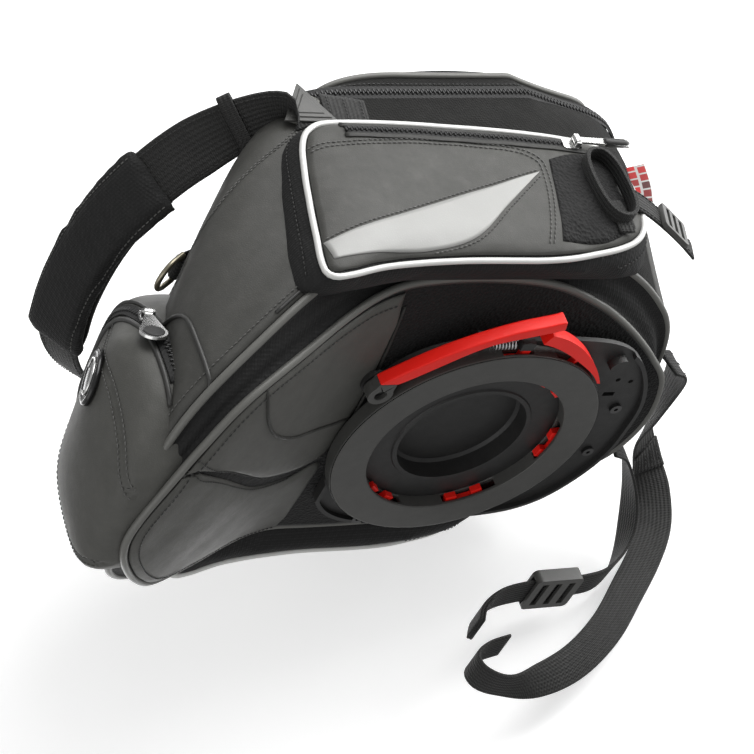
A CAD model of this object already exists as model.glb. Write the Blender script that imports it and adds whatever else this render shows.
import bpy, bmesh, math
import numpy as np
from mathutils import Vector, Matrix
from mathutils.bvhtree import BVHTree


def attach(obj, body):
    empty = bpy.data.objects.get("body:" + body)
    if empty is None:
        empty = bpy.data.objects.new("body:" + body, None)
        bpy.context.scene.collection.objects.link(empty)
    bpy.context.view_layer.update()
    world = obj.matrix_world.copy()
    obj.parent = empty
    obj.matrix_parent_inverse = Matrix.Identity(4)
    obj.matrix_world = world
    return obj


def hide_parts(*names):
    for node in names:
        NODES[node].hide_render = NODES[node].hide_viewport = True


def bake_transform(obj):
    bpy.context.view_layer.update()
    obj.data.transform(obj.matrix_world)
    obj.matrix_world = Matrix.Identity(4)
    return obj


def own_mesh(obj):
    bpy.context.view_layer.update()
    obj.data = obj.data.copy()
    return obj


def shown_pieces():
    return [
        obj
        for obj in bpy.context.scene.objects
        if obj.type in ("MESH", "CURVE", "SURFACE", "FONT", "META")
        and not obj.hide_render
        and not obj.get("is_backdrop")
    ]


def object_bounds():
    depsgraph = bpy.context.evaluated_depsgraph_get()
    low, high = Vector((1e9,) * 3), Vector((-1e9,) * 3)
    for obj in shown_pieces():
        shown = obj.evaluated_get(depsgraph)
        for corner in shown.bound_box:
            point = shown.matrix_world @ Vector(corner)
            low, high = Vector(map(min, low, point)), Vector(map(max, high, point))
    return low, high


# Motorcycle tank bag. Same frame as the CAD part: origin at the quick-lock ring's face, +Z up, +X forward, +Y left.
# Lengths in this file are millimetres; meshes are written in metres.
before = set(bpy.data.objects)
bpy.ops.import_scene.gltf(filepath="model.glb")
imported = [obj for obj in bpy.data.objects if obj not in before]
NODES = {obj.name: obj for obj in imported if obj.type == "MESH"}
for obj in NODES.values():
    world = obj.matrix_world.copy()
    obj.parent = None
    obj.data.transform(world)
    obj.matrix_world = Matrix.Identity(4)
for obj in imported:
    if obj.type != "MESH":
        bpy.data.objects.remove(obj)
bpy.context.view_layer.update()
MM = 0.001

# ------------------------------------------------------------------ outlines of the bag
PLAN = [(178, 0), (174, 40), (161, 76), (136, 104), (98, 126), (50, 138), (0, 142), (-60, 143),
        (-120, 142), (-160, 134), (-195, 116), (-222, 92), (-240, 62), (-249, 30), (-251, 0)]
LOW = [(157, 0), (152, 38), (138, 68), (116, 93), (90, 113), (54, 131), (6, 141), (-52, 143),
       (-112, 142), (-156, 134), (-192, 116), (-220, 92), (-238, 62), (-247, 30), (-249, 0)]
BASE = [(148, 0), (140, 39), (121, 62), (100, 81), (80, 96), (60, 108), (30, 121), (0, 127), (-40, 129),
        (-80, 126), (-120, 119), (-160, 107), (-198, 92), (-220, 68), (-236, 42), (-246, 20), (-250, 0)]
SIDE = [(-246, -90), (-252, -55), (-244, -15), (-224, 32), (-200, 80), (-170, 124), (-132, 166), (-84, 202),
        (-22, 231), (50, 246), (110, 245), (152, 230), (174, 200), (168, 160), (155, 100), (147, 50), (148, 0),
        (150, -90)]
CROSS = [(-148, -90), (-140, 15), (-143, 60), (-142, 110), (-138, 160), (-130, 198), (-117, 223), (-96, 239),
         (-55, 248), (0, 251), (55, 248), (96, 239), (117, 223), (130, 198), (138, 160), (142, 110), (143, 60),
         (140, 15), (148, -90)]
KEEL = [(-300, -90), (-262, -62), (-235, -51), (-200, -37), (-162, -18), (-128, 0), (-104, 10.5), (-84, 15.4),
        (-60, 16.3), (-30, 16.3), (0, 16.3), (40, 16.3), (80, 16.0), (115, 15.6), (150, 15), (200, 15)]


def A(v):
    return np.asarray(v, float)


def unit(v):
    v = A(v)
    return v / np.maximum(np.linalg.norm(v, axis=-1, keepdims=True), 1e-9)


def dense(points, closed=False, k=12):
    P = A(points)
    m = len(P)
    T = np.linspace(0, 1, k, endpoint=False)[:, None]
    out = []
    for i in range(m if closed else m - 1):
        if closed:
            a, b, c, d = P[(i - 1) % m], P[i], P[(i + 1) % m], P[(i + 2) % m]
        else:
            a, b, c, d = P[max(i - 1, 0)], P[i], P[i + 1], P[min(i + 2, m - 1)]
        out.append(.5 * (2 * b + (c - a) * T + (2 * a - 5 * b + 4 * c - d) * T ** 2 + (3 * b - a - 3 * c + d) * T ** 3))
    return np.vstack(out + [P[:1] if closed else P[-1:]])


def curve(points, n=None, closed=False, step=None, straight=False):
    """Points evenly spaced along a smooth (or straight-sided) line through the given ones."""
    Q = A(points) if straight else dense(points, closed)
    if straight and closed:
        Q = np.vstack([Q, Q[:1]])
    L = np.concatenate([[0], np.cumsum(np.linalg.norm(np.diff(Q, axis=0), axis=1))])
    if step:
        n = max(3, int(round(L[-1] / step)) + (0 if closed else 1))
    s = np.linspace(0, L[-1], n, endpoint=not closed)
    return np.stack([np.interp(s, L, Q[:, k]) for k in range(Q.shape[1])], 1)


def mirrored(half):
    return half + [(x, -y) for x, y in reversed(half[1:-1])]


def grown(points, k):
    P = A(points)
    d = np.roll(P, -1, 0) - np.roll(P, 1, 0)
    n = unit(np.stack([d[:, 1], -d[:, 0]], 1))
    x, y = P[:, 0], P[:, 1]
    s = 1 if (x * np.roll(y, -1) - np.roll(x, -1) * y).sum() > 0 else -1
    return P + s * k * n


def polar(points, c, closed=True):
    Q = dense(points, closed, 24) - A(c)
    a, r = np.arctan2(Q[:, 1], Q[:, 0]), np.hypot(Q[:, 0], Q[:, 1])
    o = np.argsort(a)
    a, r = a[o], r[o]
    aa, rr = np.concatenate([a - 2 * np.pi, a, a + 2 * np.pi]), np.tile(r, 3)
    return lambda q: np.interp(q, aa, rr)


RP, RL, RBASE = polar(mirrored(PLAN), (-40, 0)), polar(mirrored(LOW), (-40, 0)), polar(mirrored(BASE), (-40, 0))
RS, RC = polar(SIDE, (-40, 80), False), polar(CROSS, (0, 80), False)
KX, KZ = dense(KEEL, False, 10).T


def smax(a, b, k):
    h = np.maximum(k - np.abs(a - b), 0) / k
    return np.maximum(a, b) + h * h * k / 4


def body(x, y, z):
    """Below 0 inside the bag's rounded envelope."""
    q, r = np.arctan2(y, x + 40), np.hypot(x + 40, y)
    w = np.clip((z - 30) / 120, 0, 1)
    dp = r - ((1 - w) * RL(q) + w * RP(q))
    ds = np.hypot(x + 40, z - 80) - RS(np.arctan2(z - 80, x + 40))
    ye = y * (1 + np.clip(0.0032 * (x - 60), 0, 0.3) * np.clip((z - 150) / 50, 0, 1))
    dc = np.hypot(ye, z - 80) - RC(np.arctan2(z - 80, ye))
    return smax(smax(dp, dc, 7), ds, 24) - 1.2


def under(x, y):
    return np.interp(x, KX, KZ) + 24 * (y / 165) ** 2


def parting(x):
    return 205 + (205 - 181.5) / 358 * (x - 178)


def ripple(x, y, z, f=1.0):
    """Slow uneven waves, as in a stuffed panel."""
    x, y, z = x * f, y * f, z * f
    return (np.sin(x * .061 + 1.3 * np.sin(z * .037 + 1)) * np.sin(z * .083 + y * .052 + .7)
            + .5 * np.sin(x * .14 - z * .11 + 2.1) * np.sin(y * .09 + z * .071)) / 1.5


def solve(q, zf, off=0.0):
    """Point on the envelope grown by off in plan direction q at height zf(x, y)."""
    a, b = np.full(q.shape, 5.0), np.full(q.shape, 330.0)
    c, s = np.cos(q), np.sin(q)
    for _ in range(26):
        m = (a + b) / 2
        x, y = -40 + m * c, m * s
        inside = body(x, y, zf(x, y)) < off
        a, b = np.where(inside, m, a), np.where(inside, b, m)
    x, y = -40 + a * c, a * s
    return np.stack([x, y, zf(x, y)], -1)


def wall(q, v, off=0.0, low=19.0, high=-1.0):
    """Side wall: v is 0 at the upper piped seam and 1 at the lid's parting line."""
    return solve(q, lambda x, y: (1 - v) * (under(x, y) + low) + v * (parting(x) + high), off)


CEN = np.array([-20.0, 0, 140.0])


def dome(q, v, off=0.0, low=0.6):
    """Lid surface: v is 0 at the parting line, 1 at the crown."""
    edge = wall(q, np.ones_like(q), off, high=low) - CEN
    h = np.hypot(edge[..., 0], edge[..., 1])
    e0, az = np.arctan2(edge[..., 2], h), np.arctan2(edge[..., 1], edge[..., 0])
    e = e0 + (np.pi / 2 - e0) * v
    d = np.stack([np.cos(e) * np.cos(az), np.cos(e) * np.sin(az), np.sin(e)], -1)
    a, b = np.full(q.shape, 5.0), np.full(q.shape, 330.0)
    for _ in range(26):
        m = (a + b) / 2
        p = CEN + d * m[..., None]
        inside = body(p[..., 0], p[..., 1], p[..., 2]) < off
        a, b = np.where(inside, m, a), np.where(inside, b, m)
    return CEN + d * a[..., None]


# ------------------------------------------------------------------ materials
def node(nt, kind, **kw):
    n = nt.nodes.new(kind)
    for k, v in kw.items():
        if k in n.inputs:
            n.inputs[k].default_value = v
        else:
            setattr(n, k, v)
    return n


def math_node(nt, op, a, b=None):
    n = nt.nodes.new("ShaderNodeMath")
    n.operation = op
    for i, v in enumerate((a, b)):
        if v is None:
            continue
        if isinstance(v, (int, float)):
            n.inputs[i].default_value = v
        else:
            nt.links.new(v, n.inputs[i])
    return n.outputs[0]


def material(name, color, kind, rough=0.6, metal=0.0, bump=0.4, depth=0.3, var=0.25, spec=0.5, sheen=0.0, dust=0.0):
    """Procedural material. kind: leather, weave, mesh, webbing, cord, plastic, metal, reflect, coil, tag."""
    m = bpy.data.materials.new(name)
    m.use_nodes = True
    nt = m.node_tree
    bs = nt.nodes["Principled BSDF"]
    tc = node(nt, "ShaderNodeTexCoord")
    mp = node(nt, "ShaderNodeMapping")
    mp.inputs["Scale"].default_value = (1000, 1000, 1000)
    use_uv = kind in ("webbing", "cord", "coil", "tag")
    nt.links.new(tc.outputs["UV" if use_uv else "Object"], mp.inputs["Vector"])
    P = mp.outputs["Vector"]

    def wave(direction, period, phase=0.0):
        w = node(nt, "ShaderNodeTexWave", wave_type="BANDS", bands_direction=direction, wave_profile="SIN")
        w.inputs["Scale"].default_value = 2 * math.pi / (20 * period)
        w.inputs["Distortion"].default_value = 0.0
        w.inputs["Phase Offset"].default_value = phase
        nt.links.new(P, w.inputs["Vector"])
        return w.outputs["Fac"]

    def noise(scale, detail=3.0, ro=0.6):
        n = node(nt, "ShaderNodeTexNoise")
        n.inputs["Scale"].default_value = scale
        n.inputs["Detail"].default_value = detail
        n.inputs["Roughness"].default_value = ro
        nt.links.new(P, n.inputs["Vector"])
        return n.outputs["Fac"]

    def voronoi(scale, feature="F1"):
        n = node(nt, "ShaderNodeTexVoronoi", feature=feature)
        n.inputs["Scale"].default_value = scale
        nt.links.new(P, n.inputs["Vector"])
        return n.outputs["Distance"]

    big = noise(0.035, 3.0)
    if kind == "leather":
        h = math_node(nt, "ADD", math_node(nt, "MULTIPLY", voronoi(0.75, "DISTANCE_TO_EDGE"), 1.1),
                      math_node(nt, "ADD", math_node(nt, "MULTIPLY", noise(1.9), 0.5), math_node(nt, "MULTIPLY", noise(0.16, 2.0), 0.8)))
    elif kind == "weave":
        a = math_node(nt, "MULTIPLY", math_node(nt, "ADD", wave("X", 1.9), wave("Y", 1.9)), 0.5)
        b = math_node(nt, "ADD", wave("Z", 1.9), wave("DIAGONAL", 2.6))
        h = math_node(nt, "ADD", math_node(nt, "MULTIPLY", a, b), math_node(nt, "MULTIPLY", noise(2.4), 0.5))
    elif kind == "mesh":
        h = math_node(nt, "ADD", math_node(nt, "MULTIPLY", voronoi(0.42), 1.3), math_node(nt, "MULTIPLY", noise(2.0), 0.3))
    elif kind == "webbing":
        a = math_node(nt, "MULTIPLY", wave("X", 1.3), 0.55)
        b = wave("Y", 2.9)
        c = math_node(nt, "MULTIPLY", wave("DIAGONAL", 1.5), 0.5)
        h = math_node(nt, "ADD", math_node(nt, "ADD", a, b), math_node(nt, "ADD", c, math_node(nt, "MULTIPLY", noise(1.4), 0.4)))
    elif kind == "cord":
        h = math_node(nt, "ADD", wave("DIAGONAL", 1.6), math_node(nt, "MULTIPLY", noise(1.5), 0.5))
    elif kind == "reflect":
        h = math_node(nt, "ADD", math_node(nt, "MULTIPLY", voronoi(0.6, "DISTANCE_TO_EDGE"), 1.2), math_node(nt, "MULTIPLY", noise(1.6), 0.3))
    elif kind == "coil":
        h = math_node(nt, "ADD", wave("X", 1.2), math_node(nt, "MULTIPLY", wave("Y", 1.6), 0.6))
    elif kind == "metal":
        h = math_node(nt, "ADD", math_node(nt, "MULTIPLY", noise(0.8), 0.7), math_node(nt, "MULTIPLY", noise(4.0), 0.3))
    elif kind == "tag":
        h = math_node(nt, "ADD", wave("X", 0.9), wave("Y", 0.9))
    else:
        h = math_node(nt, "ADD", noise(2.2, 4.0), math_node(nt, "MULTIPLY", noise(0.3), 0.3))
    bp = node(nt, "ShaderNodeBump")
    bp.inputs["Strength"].default_value = bump
    bp.inputs["Distance"].default_value = depth * MM
    nt.links.new(h, bp.inputs["Height"])
    nt.links.new(bp.outputs["Normal"], bs.inputs["Normal"])
    # colour: slow unevenness, fine grain and a little dust
    c = A(color)
    ramp = node(nt, "ShaderNodeMix", data_type="RGBA", blend_type="MIX")
    ramp.inputs["A"].default_value = (*np.clip(c * (1 - var), 0, 1), 1)
    ramp.inputs["B"].default_value = (*np.clip(c * (1 + var), 0, 1), 1)
    f = math_node(nt, "ADD", math_node(nt, "MULTIPLY", big, 0.55), math_node(nt, "MULTIPLY", h, 0.28))
    nt.links.new(f, ramp.inputs["Factor"])
    col = ramp.outputs["Result"]
    if kind == "tag":
        blocks = node(nt, "ShaderNodeTexBrick")
        blocks.inputs["Color1"].default_value = (0.50, 0.012, 0.012, 1)
        blocks.inputs["Color2"].default_value = (0.02, 0.02, 0.02, 1)
        blocks.inputs["Mortar"].default_value = (0.42, 0.42, 0.41, 1)
        blocks.inputs["Scale"].default_value = 1.0
        blocks.inputs["Brick Width"].default_value = 9.0
        blocks.inputs["Row Height"].default_value = 7.0
        blocks.inputs["Mortar Size"].default_value = 0.9
        nt.links.new(P, blocks.inputs["Vector"])
        col = blocks.outputs["Color"]
    if dust:
        dn = node(nt, "ShaderNodeMix", data_type="RGBA")
        dn.inputs["B"].default_value = (0.32, 0.31, 0.29, 1)
        nt.links.new(col, dn.inputs["A"])
        d = math_node(nt, "MULTIPLY", math_node(nt, "POWER", noise(0.09, 6.0, 0.75), 3.0), dust)
        nt.links.new(d, dn.inputs["Factor"])
        col = dn.outputs["Result"]
    nt.links.new(col, bs.inputs["Base Color"])
    r = math_node(nt, "ADD", rough - 0.09, math_node(nt, "MULTIPLY", noise(0.12, 4.0), 0.18))
    nt.links.new(r, bs.inputs["Roughness"])
    bs.inputs["Metallic"].default_value = metal
    bs.inputs["Specular IOR Level"].default_value = spec
    if sheen:
        bs.inputs["Sheen Weight"].default_value = sheen
        bs.inputs["Sheen Roughness"].default_value = 0.5
    return m


M = {
    "leather": material("pu_leather", (0.050, 0.050, 0.046), "leather", 0.56, spec=0.32, bump=0.35, depth=0.35, var=0.22, dust=0.25),
    "leather_base": material("pu_leather_base", (0.070, 0.070, 0.064), "leather", 0.55, bump=0.35, depth=0.35, var=0.2, spec=0.34, dust=0.2),
    "leather_dark": material("pu_leather_dark", (0.028, 0.028, 0.026), "leather", 0.55, spec=0.3, bump=0.4, depth=0.4, var=0.2, dust=0.2),
    "fabric": material("black_fabric", (0.0105, 0.0105, 0.010), "weave", 0.82, bump=0.8, depth=0.45, var=0.5, spec=0.16, dust=0.03),
    "mesh": material("black_mesh", (0.010, 0.010, 0.010), "mesh", 0.75, bump=0.9, depth=0.9, var=0.5, spec=0.25, sheen=0.03),
    "nylon": material("nylon_gusset", (0.012, 0.012, 0.012), "weave", 0.68, bump=0.5, depth=0.35, var=0.4, spec=0.25, sheen=0.03),
    "lining": material("lining", (0.06, 0.06, 0.062), "weave", 0.65, bump=0.3, depth=0.2, var=0.2, sheen=0.2),
    "piping": material("grey_piping", (0.13, 0.13, 0.12), "plastic", 0.42, bump=0.2, depth=0.2, var=0.2),
    "piping_dark": material("dark_piping", (0.035, 0.035, 0.033), "plastic", 0.45, bump=0.25, depth=0.2, var=0.2),
    "silver": material("reflective_piping", (0.70, 0.70, 0.68), "reflect", 0.38, metal=0.15, bump=0.2, depth=0.15, var=0.08),
    "reflective": material("reflective_fabric", (0.33, 0.33, 0.32), "reflect", 0.5, metal=0.1, bump=0.3, depth=0.15, var=0.1),
    "tape": material("zip_tape", (0.012, 0.012, 0.012), "cord", 0.75, bump=0.6, depth=0.3, var=0.4),
    "teeth": material("zip_coil", (0.018, 0.018, 0.018), "plastic", 0.4, bump=0.2, depth=0.1, var=0.2),
    "webbing": material("webbing", (0.019, 0.019, 0.0185), "webbing", 0.72, bump=0.9, depth=0.5, var=0.45, spec=0.3, sheen=0.05, dust=0.06),
    "padded": material("padded_fabric", (0.017, 0.017, 0.017), "weave", 0.78, bump=0.7, depth=0.5, var=0.4, spec=0.25, sheen=0.04),
    "plastic": material("black_plastic", (0.056, 0.056, 0.053), "plastic", 0.43, bump=0.22, depth=0.25, var=0.18, dust=0.15),
    "plastic_dark": material("dark_plastic", (0.014, 0.014, 0.014), "plastic", 0.5, bump=0.3, depth=0.25, var=0.2, dust=0.1),
    "red": material("red_plastic", (0.90, 0.012, 0.006), "plastic", 0.42, spec=0.35, bump=0.12, depth=0.2, var=0.12, dust=0.05),
    "steel": material("steel", (0.55, 0.55, 0.56), "metal", 0.32, metal=1.0, bump=0.1, depth=0.1, var=0.15),
    "steel_dark": material("dark_steel", (0.12, 0.12, 0.12), "metal", 0.4, metal=1.0, bump=0.1, depth=0.1, var=0.2),
    "chrome": material("bright_metal", (0.72, 0.72, 0.71), "metal", 0.24, metal=1.0, bump=0.08, depth=0.08, var=0.15),
    "brass": material("aged_brass", (0.36, 0.33, 0.25), "metal", 0.35, metal=1.0, bump=0.15, depth=0.12, var=0.35),
    "gloss": material("badge_black", (0.012, 0.012, 0.012), "plastic", 0.22, bump=0.05, depth=0.1, var=0.15),
    "thread": material("thread", (0.10, 0.10, 0.095), "plastic", 0.6, bump=0.4, depth=0.1, var=0.25),
    "thread_dark": material("thread_dark", (0.028, 0.028, 0.027), "plastic", 0.6, bump=0.4, depth=0.1, var=0.25),
    "tag": material("woven_tag", (0.6, 0.6, 0.6), "tag", 0.7, bump=0.5, depth=0.2),
    "board": material("stiffener", (0.08, 0.08, 0.08), "plastic", 0.7, bump=0.4, depth=0.3, var=0.2),
}


# ------------------------------------------------------------------ mesh builders
def mesh_obj(name, verts, faces, mat, uvs=None, smooth=True, fix=True):
    me = bpy.data.meshes.new(name)
    me.from_pydata((A(verts) * MM).tolist(), [], faces)
    if uvs is not None:
        ul = me.uv_layers.new(name="UVMap")
        ul.data.foreach_set("uv", (A([c for f in uvs for c in f]) * MM).ravel())
    if fix:
        bm = bmesh.new()
        bm.from_mesh(me)
        bmesh.ops.recalc_face_normals(bm, faces=bm.faces)
        bm.to_mesh(me)
        bm.free()
    me.polygons.foreach_set("use_smooth", [smooth] * len(me.polygons))
    me.materials.append(mat)
    me.update()
    ob = bpy.data.objects.new(name, me)
    bpy.context.scene.collection.objects.link(ob)
    return ob


def put(ob, where="bag", replaces=()):
    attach(ob, where)
    if replaces:
        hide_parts(*([replaces] if isinstance(replaces, str) else replaces))
    return ob


def sheet(name, G, mat, wrap=False, pole0=None, pole1=None, t=1.4, out=(0, 0, 1)):
    """Closed skin of thickness t whose outer face is the grid G[row, column]."""
    G = A(G)
    R, C = G.shape[:2]
    dc = np.roll(G, -1, 1) - np.roll(G, 1, 1) if wrap else np.gradient(G, axis=1)
    n = unit(np.cross(dc, np.gradient(G, axis=0)))
    if (n * A(out)).sum() < 0:
        n = -n
    verts = [G.reshape(-1, 3), (G - n * t).reshape(-1, 3)]
    k = R * C
    mid = G[R // 2]
    u = np.concatenate([[0], np.cumsum(np.linalg.norm(np.diff(np.vstack([mid, mid[:1]]), axis=0), axis=1))])
    col = G[:, 0]
    w = np.concatenate([[0], np.cumsum(np.linalg.norm(np.diff(col, axis=0), axis=1))])
    faces, uvs = [], []
    cols = C if wrap else C - 1
    for r in range(R - 1):
        for c in range(cols):
            d = (c + 1) % C
            uv = [(u[c], w[r]), (u[c + 1], w[r]), (u[c + 1], w[r + 1]), (u[c], w[r + 1])]
            f = [r * C + c, r * C + d, (r + 1) * C + d, (r + 1) * C + c]
            faces.append(f)
            uvs.append(uv)
            faces.append([k + i for i in reversed(f)])
            uvs.append(uv[::-1])
    for r, pole in ((0, pole0), (R - 1, pole1)):
        if pole is None:
            for c in range(cols):
                d = (c + 1) % C
                faces.append([r * C + c, r * C + d, k + r * C + d, k + r * C + c])
                uvs.append([(u[c], w[r]), (u[c + 1], w[r]), (u[c + 1], w[r] + t), (u[c], w[r] + t)])
        else:
            pn = unit(n[r].mean(0))
            i = 2 * k + sum(len(x) for x in verts[2:])
            verts.append(A([pole, A(pole) - pn * t]))
            for c in range(cols):
                d = (c + 1) % C
                for base, p in ((0, i), (k, i + 1)):
                    faces.append([base + r * C + c, base + r * C + d, p])
                    uvs.append([(u[c], w[r]), (u[c + 1], w[r]), (u[c], w[r] + 3)])
    if not wrap:
        for c in (0, C - 1):
            for r in range(R - 1):
                faces.append([r * C + c, (r + 1) * C + c, k + (r + 1) * C + c, k + r * C + c])
                uvs.append([(u[c], w[r]), (u[c], w[r + 1]), (u[c] + t, w[r + 1]), (u[c] + t, w[r])])
    return mesh_obj(name, np.vstack(verts), faces, mat, uvs)


def loft(name, sections, mat, closed=False):
    """Solid through a list of section loops (n, k, 3)."""
    S = A(sections)
    n, k = S.shape[:2]
    L = np.concatenate([[0], np.cumsum(np.linalg.norm(np.diff(S.mean(1), axis=0), axis=1))])
    if closed:
        L = np.append(L, L[-1] + np.linalg.norm(S[0].mean(0) - S[-1].mean(0)))
    q = np.concatenate([[0], np.cumsum(np.linalg.norm(np.diff(np.vstack([S[0], S[0][:1]]), axis=0), axis=1))])
    faces, uvs = [], []
    for i in range(n if closed else n - 1):
        j = (i + 1) % n
        for c in range(k):
            d = (c + 1) % k
            faces.append([i * k + c, i * k + d, j * k + d, j * k + c])
            uvs.append([(L[i], q[c]), (L[i], q[c + 1]), (L[i + 1], q[c + 1]), (L[i + 1], q[c])])
    verts = [S.reshape(-1, 3)]
    if not closed:
        for e, i in ((0, 0), (1, (n - 1) * k)):
            verts.append(S[-e].mean(0)[None] if e else S[0].mean(0)[None])
            for c in range(k):
                faces.append([i + c, i + (c + 1) % k, n * k + e])
                uvs.append([(L[-1] * e, q[c]), (L[-1] * e, q[c + 1]), (L[-1] * e + 1, q[c])])
    return mesh_obj(name, np.vstack(verts), faces, mat, uvs)


def frames(P, closed=False, ref=None):
    P = A(P)
    T = unit(np.roll(P, -1, 0) - np.roll(P, 1, 0)) if closed else unit(np.gradient(P, axis=0))
    if ref is not None:
        R = np.broadcast_to(A(ref), P.shape)
        N = unit(R - T * (R * T).sum(1, keepdims=True))
    else:
        N = np.zeros_like(P)
        a = A([0, 0, 1]) if abs(T[0, 2]) < .9 else A([1, 0, 0])
        N[0] = unit(a - T[0] * (a @ T[0]))
        for i in range(1, len(P)):
            N[i] = unit(N[i - 1] - T[i] * (N[i - 1] @ T[i]))
    return T, N, np.cross(T, N)


def tube(name, P, r, mat, closed=False, ref=None, sides=10):
    T, N, B = frames(P, closed, ref)
    a = np.arange(sides) * 2 * np.pi / sides
    rr = np.broadcast_to(A(r), (len(P),))[:, None, None]
    S = A(P)[:, None] + rr * (np.cos(a)[None, :, None] * N[:, None] + np.sin(a)[None, :, None] * B[:, None])
    return loft(name, S, mat, closed)


SECTION = A([(-.5, -.12), (-.5, .12), (-.485, .4), (-.45, .5), (-.22, .5), (0, .5), (.22, .5), (.45, .5), (.485, .4), (.5, .12),
             (.5, -.12), (.485, -.4), (.45, -.5), (.22, -.5), (0, -.5), (-.22, -.5), (-.45, -.5), (-.485, -.4)])


def ribbon(name, P, W, width, thick, mat, curl=0.0, closed=False):
    """Webbing along P; W is the width direction at each point; curl bows the section."""
    P = A(P)
    T = unit(np.roll(P, -1, 0) - np.roll(P, 1, 0)) if closed else unit(np.gradient(P, axis=0))
    W = np.broadcast_to(A(W), P.shape)
    W = unit(W - T * (W * T).sum(1, keepdims=True))
    N = np.cross(T, W)
    wd = np.broadcast_to(A(width), (len(P),))[:, None]
    th = np.broadcast_to(A(thick), (len(P),))[:, None]
    a = SECTION[None, :, 0] * wd
    b = SECTION[None, :, 1] * th + curl * (1 - (2 * SECTION[None, :, 0]) ** 2)
    S = P[:, None] + a[..., None] * W[:, None] + b[..., None] * N[:, None]
    return loft(name, S, mat, closed), P, W, N


def ribbon_path(points, wide, n=None, step=3.0):
    """Even points and width directions along a strap."""
    both = np.hstack([A(points), A(wide) * 1e-3])
    Q = curve(both, n=n, step=step)
    return Q[:, :3], unit(Q[:, 3:])


def stitches(name, runs, mat, pitch=3.6, length=2.5, r=0.42, lift=0.2):
    """Separate thread stitches along runs of (points, normals)."""
    verts, faces = [], []
    a = np.arange(6) * np.pi / 3
    for P, Nn in runs:
        P, Nn = A(P), np.broadcast_to(A(Nn), A(P).shape)
        both = curve(np.hstack([P, Nn * .01]), step=pitch, straight=True) if len(P) > 1 else None
        Q, N = both[:, :3], unit(both[:, 3:])
        T = unit(np.gradient(Q, axis=0))
        B = np.cross(T, N)
        for q, t, n, b in zip(Q[1:-1], T[1:-1], N[1:-1], B[1:-1]):
            i = sum(1 for _ in ()) + len(verts)
            for f, g, h in ((-.5, .45, -.35), (-.3, 1, .5), (.3, 1, .5), (.5, .45, -.35)):
                for k in a:
                    verts.append(q + t * f * length + n * (lift + h * r + .8 * g * r * math.sin(k)) + b * g * r * math.cos(k))
            for s in range(3):
                for c in range(6):
                    d = (c + 1) % 6
                    faces.append([i + s * 6 + c, i + s * 6 + d, i + s * 6 + 6 + d, i + s * 6 + 6 + c])
            faces.append([i + c for c in range(6)])
            faces.append([i + 18 + c for c in reversed(range(6))])
    return mesh_obj(name, verts, faces, mat, fix=True)


def boxes(name, items, mat):
    """Small chamfered blocks: (centre, x axis, y axis, z axis, sizes)."""
    verts, faces = [], []
    for c, x, y, z, (a, b, h) in items:
        i = len(verts)
        for sz, k in ((-.5, 1.0), (.2, 1.0), (.5, .7)):
            for sx, sy in ((-.5, -.35), (-.35, -.5), (.35, -.5), (.5, -.35), (.5, .35), (.35, .5), (-.35, .5), (-.5, .35)):
                verts.append(A(c) + A(x) * sx * a * k + A(y) * sy * b * k + A(z) * sz * h)
        for s in range(2):
            for q in range(8):
                d = (q + 1) % 8
                faces.append([i + s * 8 + q, i + s * 8 + d, i + s * 8 + 8 + d, i + s * 8 + 8 + q])
        faces.append([i + q for q in reversed(range(8))])
        faces.append([i + 16 + q for q in range(8)])
    return mesh_obj(name, verts, faces, mat, smooth=False)


def zipper(name, P, N, closed=False, width=11.0, where="bag", replaces=(), t=1.0, pitch=1.7):
    """Zip: woven tape with two rows of interlocking teeth. N is the outward normal at each point."""
    P, N = A(P), unit(np.broadcast_to(A(N), A(P).shape))
    T = unit(np.roll(P, -1, 0) - np.roll(P, 1, 0)) if closed else unit(np.gradient(P, axis=0))
    W = np.cross(N, T)
    tape, *_ = ribbon(name, P, W, width, t, M["tape"], closed=closed)
    put(tape, where, replaces)
    Q = curve(np.hstack([P, N * .01, W * .01]), step=pitch, straight=True, closed=closed)
    q, n, w = Q[:, :3], unit(Q[:, 3:6]), unit(Q[:, 6:])
    tt = unit(np.gradient(q, axis=0))
    items = [(q[i] + n[i] * (t / 2 + .55) + w[i] * (0.75 if i % 2 else -0.75), tt[i], w[i], n[i], (1.25, 3.0, 1.3)) for i in range(len(q))]
    put(boxes(name + "_teeth", items, M["teeth"]), where)
    return P, N, W


class Surf:
    """Ray-cast target made from finished pieces."""
    def __init__(self, *obs):
        dg = bpy.context.evaluated_depsgraph_get()
        V, F = [], []
        for o in obs:
            e = o.evaluated_get(dg).to_mesh()
            k = len(V)
            V += [o.matrix_world @ v.co for v in e.vertices]
            F += [[k + i for i in p.vertices] for p in e.polygons]
        self.t = BVHTree.FromPolygons(V, F)

    def drape(self, P, d, lift=0.3, back=90.0):
        """Moves points along direction d onto the surface; returns points and normals."""
        P = A(P)
        D = unit(np.broadcast_to(A(d), P.shape))
        Q, N = P.copy(), -D.copy()
        for i, (p, v) in enumerate(zip(P, D)):
            h = self.t.ray_cast(Vector((p - v * back) * MM), Vector(v))
            if h[0] is not None:
                n = A(h[1])
                if n @ v > 0:
                    n = -n
                Q[i], N[i] = A(h[0]) / MM, n
            else:
                h = self.t.find_nearest(Vector(p * MM))
                Q[i], N[i] = A(h[0]) / MM, A(h[1])
        # even out the normals along the run
        if len(P) > 4:
            for _ in range(2):
                N[1:-1] = unit(N[:-2] + 2 * N[1:-1] + N[2:])
        return Q + N * lift, N


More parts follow.
